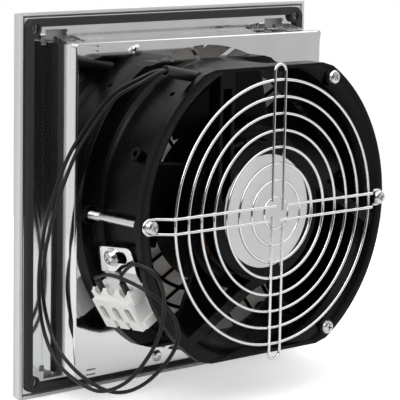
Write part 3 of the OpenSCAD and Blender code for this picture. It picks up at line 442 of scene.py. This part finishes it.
# The fan's frame is a die casting in one piece, a flared barrel with flats, bosses, slanting arms
# and the hub, coated in satin black. The coat is thin and rubs paler on the edges.
edge_rub, source, sink = open_group(
    "edge_rub",
    {"Colour": (0.0, 0.0, 0.0, 1.0), "Rubbed": (0.3, 0.3, 0.3, 1.0), "Width": 0.0008, "Amount": 0.5},
    {"Colour": (0.0, 0.0, 0.0, 1.0)})
turned = edge_rub.nodes.new("ShaderNodeBevel")
turned.samples = 4
flat = edge_rub.nodes.new("ShaderNodeNewGeometry")
agree = edge_rub.nodes.new("ShaderNodeVectorMath")
agree.operation = "DOT_PRODUCT"
worn = edge_rub.nodes.new("ShaderNodeMapRange")
worn.inputs["From Min"].default_value = 0.97
worn.inputs["From Max"].default_value = 0.75
broken = edge_rub.nodes.new("ShaderNodeTexNoise")
broken.inputs["Scale"].default_value = 260.0
broken.inputs["Detail"].default_value = 4.0
place_in = edge_rub.nodes.new("ShaderNodeTexCoord")
share = edge_rub.nodes.new("ShaderNodeMath")
share.operation = "MULTIPLY"
level = edge_rub.nodes.new("ShaderNodeMath")
level.operation = "MULTIPLY"
blend = edge_rub.nodes.new("ShaderNodeMix")
blend.data_type = "RGBA"
edge_rub.links.new(source.outputs["Width"], turned.inputs["Radius"])
edge_rub.links.new(turned.outputs["Normal"], agree.inputs[0])
edge_rub.links.new(flat.outputs["Normal"], agree.inputs[1])
edge_rub.links.new(agree.outputs["Value"], worn.inputs["Value"])
edge_rub.links.new(place_in.outputs["Object"], broken.inputs["Vector"])
edge_rub.links.new(worn.outputs["Result"], share.inputs[0])
edge_rub.links.new(broken.outputs["Fac"], share.inputs[1])
edge_rub.links.new(share.outputs["Value"], level.inputs[0])
edge_rub.links.new(source.outputs["Amount"], level.inputs[1])
edge_rub.links.new(level.outputs["Value"], blend.inputs["Factor"])
edge_rub.links.new(source.outputs["Colour"], blend.inputs["A"])
edge_rub.links.new(source.outputs["Rubbed"], blend.inputs["B"])
edge_rub.links.new(blend.outputs["Result"], sink.inputs["Colour"])


def rub_edges(finish, effect, rubbed, width, amount):
    """Puts the edge rub between a placed group's colour and the shader."""
    tree = finish.node_tree
    shader = tree.nodes["Principled BSDF"]
    rub = tree.nodes.new("ShaderNodeGroup")
    rub.node_tree = edge_rub
    rub.inputs["Rubbed"].default_value = rubbed
    rub.inputs["Width"].default_value = width
    rub.inputs["Amount"].default_value = amount
    tree.links.new(effect.outputs["Colour"], rub.inputs["Colour"])
    tree.links.new(rub.outputs["Colour"], shader.inputs["Base Color"])


black_casting = new_finish("black_casting", (0.002, 0.002, 0.0024), 0.28, Specular_IOR_Level=0.14)
coat = dress(black_casting, grain, 0.25, 0.0002, 0.0006, Colour=(0.001, 0.001, 0.0013, 1),
             Patch=(0.0024, 0.0024, 0.003, 1), Patch_Scale=45.0, Grain_Scale=1500.0, Low=0.22, High=0.34)
rub_edges(black_casting, coat, (0.03, 0.03, 0.032, 1), 0.0007, 0.5)
finish_nodes(black_casting, "fan_frame")

# Inside the hub sits the motor: a stack of dull steel sheets on the bearing tube with varnished copper
# windings in its slots, and two ground bearings for the shaft.
lamination = new_finish("lamination", (0.2, 0.205, 0.21), 0.5, 1.0)
dress(lamination, rolled, 0.6, 0.0002, Colour=(0.22, 0.225, 0.23, 1), Patch=(0.34, 0.345, 0.35, 1),
      Streak_Scale=1200.0, Stretch=1.0, Low=0.4, High=0.6)
finish_nodes(lamination, "stator_core")
copper_wire = new_finish("copper_wire", (0.55, 0.25, 0.1), 0.35, 1.0)
dress(copper_wire, rolled, 0.8, 0.0004, Colour=(0.42, 0.17, 0.06, 1), Patch=(0.70, 0.34, 0.15, 1),
      Streak_Scale=1600.0, Stretch=0.08, Low=0.25, High=0.45)
finish_nodes(copper_wire, "stator_windings")
bearing_steel = new_finish("bearing_steel", (0.6, 0.6, 0.61), 0.2, 1.0)
dress(bearing_steel, rolled, 0.1, 0.0001, 0.0002, Colour=(0.56, 0.56, 0.57, 1), Patch=(0.66, 0.66, 0.67, 1),
      Streak_Scale=900.0, Stretch=0.2, Low=0.12, High=0.26)
finish_nodes(bearing_steel, "bearing_front", "bearing_rear", "shaft")

# The rotor is a deep-drawn drum with a ring of moulded blades pressed on it, both black.
# The drum has a painted skin and the blades a finer, duller one.
finish_nodes(black_casting, "rotor_can")
black_plastic = new_finish("black_plastic", (0.0015, 0.0015, 0.002), 0.35, Specular_IOR_Level=0.14)
dress(black_plastic, grain, 0.2, 0.0001, 0.0005, Colour=(0.001, 0.001, 0.0016, 1),
      Patch=(0.002, 0.002, 0.003, 1), Patch_Scale=30.0, Grain_Scale=2400.0, Low=0.3, High=0.42)
finish_nodes(black_plastic, "impeller")

# A round label of white plastic film is stuck in the hub's recess, over the end of the motor.
# It has a smooth skin and carries no print.
label_white = new_finish("label_white", (0.8, 0.8, 0.8), 0.2)
dress(label_white, grain, 0.08, 0.0001, 0.0003, Colour=(0.76, 0.76, 0.76, 1), Patch=(0.82, 0.82, 0.82, 1),
      Patch_Scale=20.0, Grain_Scale=1600.0, Low=0.16, High=0.24)
finish_nodes(label_white, "hub_label")

# The finger guard is welded from round steel wire, rings under four hairpins, and plated bright.
# The long screws hold it through the eyes of its hairpins.
guard_wire = new_finish("guard_wire", (0.82, 0.82, 0.83), 0.15, 1.0)
dress(guard_wire, grain, 0.1, 0.0001, Colour=(0.78, 0.78, 0.79, 1), Patch=(0.88, 0.88, 0.88, 1),
      Patch_Scale=90.0, Grain_Scale=1500.0, Low=0.12, High=0.24)
finish_nodes(guard_wire, "finger_guard")

# Screws, nuts, washer and rivets are turned or pressed steel with a bright zinc skin. The long screws
# have a rolled thread at their tips, and part of it shows between the fan's flanges.
zinc = new_finish("zinc", (0.72, 0.72, 0.7), 0.25, 1.0)
dress(zinc, grain, 0.15, 0.0001, 0.0002, Colour=(0.66, 0.66, 0.645, 1), Patch=(0.78, 0.78, 0.765, 1),
      Patch_Scale=180.0, Grain_Scale=2000.0, Low=0.16, High=0.32)
finish_nodes(zinc, "fan_screws", "fan_nuts", "plate_rivets", "bracket_screw", "toothed_washer",
             "terminal_screws", "block_rivets")
SCREW_CIRCLE = 0.082
SCREW_ANGLES = (0, 180, 124, 236)
THREAD_START, THREAD_PITCH = 0.0238, 0.0007
THREAD_TURNS, THREAD_SIDES = 27, 20
THREAD_ROOT, THREAD_CREST, THREAD_FLANK = 0.00196, 0.00216, 0.42
shape = bmesh.new()
for angle in SCREW_ANGLES:
    screw_x = SCREW_CIRCLE * math.cos(math.radians(angle))
    screw_z = SCREW_CIRCLE * math.sin(math.radians(angle))
    rings = []
    for i in range(THREAD_TURNS * THREAD_SIDES + 1):
        turn = 2 * math.pi * i / THREAD_SIDES
        y = THREAD_START + THREAD_PITCH * i / THREAD_SIDES
        ring = []
        for radius, shift in ((THREAD_ROOT, -THREAD_FLANK), (THREAD_CREST, 0.0), (THREAD_ROOT, THREAD_FLANK)):
            ring.append(shape.verts.new((screw_x + radius * math.cos(turn), y + shift * THREAD_PITCH,
                                         screw_z + radius * math.sin(turn))))
        rings.append(ring)
    for low, high in zip(rings, rings[1:]):
        for k in range(3):
            after = (k + 1) % 3
            shape.faces.new((low[k], low[after], high[after], high[k]))
    shape.faces.new(rings[0])
    shape.faces.new(rings[-1][::-1])
bmesh.ops.recalc_face_normals(shape, faces=shape.faces)
threads = stand("screw_threads", mesh_from(shape, "screw_threads", zinc))
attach(threads, "housing")

# The terminal block is moulded in white plastic with a funnel, a screw well and a clamp cage for each
# pole, and it is riveted to the bracket's lower leg.
white_plastic = new_finish("white_plastic", (0.8, 0.8, 0.78), 0.35, Subsurface_Weight=0.15,
                           Subsurface_Scale=0.001)
dress(white_plastic, grain, 0.12, 0.0001, Colour=(0.76, 0.76, 0.745, 1), Patch=(0.83, 0.83, 0.815, 1),
      Patch_Scale=70.0, Grain_Scale=1800.0, Low=0.3, High=0.42)
rounded("terminal_block", "housing", white_plastic, 0.0006, 3)
clamp_brass = new_finish("clamp_brass", (0.65, 0.58, 0.38), 0.3, 1.0)
dress(clamp_brass, grain, 0.2, 0.0001, Colour=(0.58, 0.51, 0.33, 1), Patch=(0.70, 0.64, 0.46, 1),
      Patch_Scale=200.0, Grain_Scale=1500.0, Low=0.22, High=0.38)
finish_nodes(clamp_brass, "clamp_cages")

# The studio has a pale floor under the cover's lower edge and three broad soft lamps: high on the terminal
# block's side, over the right shoulder, and in front of the cover. The sky is white to the camera, while
# the metal sees it fall dark behind the camera, with a bright soft box overhead.
FLOOR_Z = -0.1022
FLOOR_REACH = 0.55
FLOOR_GLOW = 0.5
floor_paint = new_finish("floor_paint", (0.93, 0.93, 0.93), 0.8)
tree = floor_paint.node_tree
rays = tree.nodes.new("ShaderNodeLightPath")
glow = tree.nodes.new("ShaderNodeEmission")
lift = tree.nodes.new("ShaderNodeMath")
lift.operation = "MULTIPLY"
lift.inputs[1].default_value = FLOOR_GLOW
lit = tree.nodes.new("ShaderNodeAddShader")
tree.links.new(rays.outputs["Is Camera Ray"], lift.inputs[0])
tree.links.new(lift.outputs["Value"], glow.inputs["Strength"])
tree.links.new(tree.nodes["Principled BSDF"].outputs["BSDF"], lit.inputs[0])
tree.links.new(glow.outputs["Emission"], lit.inputs[1])
tree.links.new(lit.outputs["Shader"], tree.nodes["Material Output"].inputs["Surface"])
shape = bmesh.new()
bmesh.ops.create_circle(shape, cap_ends=True, radius=FLOOR_REACH, segments=96,
                        matrix=Matrix.Translation((0, 0.03, FLOOR_Z)))
floor = stand("studio_floor", mesh_from(shape, "studio_floor", floor_paint))
LAMPS = (("key_lamp", (-0.9, -0.35, -0.8), 1.4, 40, True),
         ("fill_lamp", (0.5, -0.9, -0.5), 0.5, 60, False),
         ("front_lamp", (0.5, 0.9, -0.6), 1.0, 50, False))
for name, aim, power, breadth, in_mirror in LAMPS:
    lamp = bpy.data.lights.new(name, "SUN")
    lamp.energy = power
    lamp.angle = math.radians(breadth)
    holder = stand(name, lamp)
    holder.rotation_euler = Vector(aim).to_track_quat("-Z", "Y").to_euler()
    holder.visible_glossy = in_mirror
SKY_LIGHT = 0.55
SOFT_BOX = 1.8
TO_CAMERA = (0.66, 0.735, 0.16)
world = bpy.data.worlds.new("studio_sky")
world.use_nodes = True
bpy.context.scene.world = world
sky = world.node_tree
sky_light = sky.nodes["Background"]
rays = sky.nodes.new("ShaderNodeLightPath")
outward = sky.nodes.new("ShaderNodeTexCoord")
facing = sky.nodes.new("ShaderNodeVectorMath")
facing.operation = "DOT_PRODUCT"
facing.inputs[1].default_value = TO_CAMERA
halved = sky.nodes.new("ShaderNodeMapRange")
halved.inputs["From Min"].default_value = -1.0
halved.inputs["From Max"].default_value = 1.0
dark_side = sky.nodes.new("ShaderNodeValToRGB")
dark_side.color_ramp.interpolation = "EASE"
dark_side.color_ramp.elements[0].position = 0.38
dark_side.color_ramp.elements[0].color = (0.85, 0.85, 0.85, 1)
dark_side.color_ramp.elements[1].position = 0.9
dark_side.color_ramp.elements[1].color = (0.012, 0.012, 0.012, 1)
for place, tone in ((0.04, 0.9), (0.2, 0.5), (0.55, 0.55), (0.72, 0.4)):
    stop = dark_side.color_ramp.elements.new(place)
    stop.color = (tone, tone, tone, 1)
upward = sky.nodes.new("ShaderNodeSeparateXYZ")
overhead = sky.nodes.new("ShaderNodeMapRange")
overhead.inputs["From Min"].default_value = 0.5
overhead.inputs["From Max"].default_value = 0.7
soft_box = sky.nodes.new("ShaderNodeMix")
soft_box.data_type = "RGBA"
soft_box.inputs["B"].default_value = (SOFT_BOX, SOFT_BOX, SOFT_BOX, 1)
seen = sky.nodes.new("ShaderNodeMix")
seen.data_type = "RGBA"
seen.inputs["A"].default_value = (SKY_LIGHT, SKY_LIGHT, SKY_LIGHT, 1)
mirrored = sky.nodes.new("ShaderNodeMix")
mirrored.data_type = "RGBA"
mirrored.inputs["B"].default_value = (1, 1, 1, 1)
sky.links.new(outward.outputs["Generated"], facing.inputs[0])
sky.links.new(facing.outputs["Value"], halved.inputs["Value"])
sky.links.new(halved.outputs["Result"], dark_side.inputs["Fac"])
sky.links.new(rays.outputs["Is Glossy Ray"], seen.inputs["Factor"])
sky.links.new(outward.outputs["Generated"], upward.inputs["Vector"])
sky.links.new(upward.outputs["Z"], overhead.inputs["Value"])
sky.links.new(overhead.outputs["Result"], soft_box.inputs["Factor"])
sky.links.new(dark_side.outputs["Color"], soft_box.inputs["A"])
sky.links.new(soft_box.outputs["Result"], seen.inputs["B"])
clear = sky.nodes.new("ShaderNodeMath")
clear.operation = "MAXIMUM"
sky.links.new(rays.outputs["Is Camera Ray"], clear.inputs[0])
sky.links.new(rays.outputs["Is Transmission Ray"], clear.inputs[1])
sky.links.new(clear.outputs["Value"], mirrored.inputs["Factor"])
sky.links.new(seen.outputs["Result"], mirrored.inputs["A"])
sky.links.new(mirrored.outputs["Result"], sky_light.inputs["Color"])
sky_light.inputs["Strength"].default_value = 1.0
bpy.context.scene.view_settings.view_transform = "Standard"
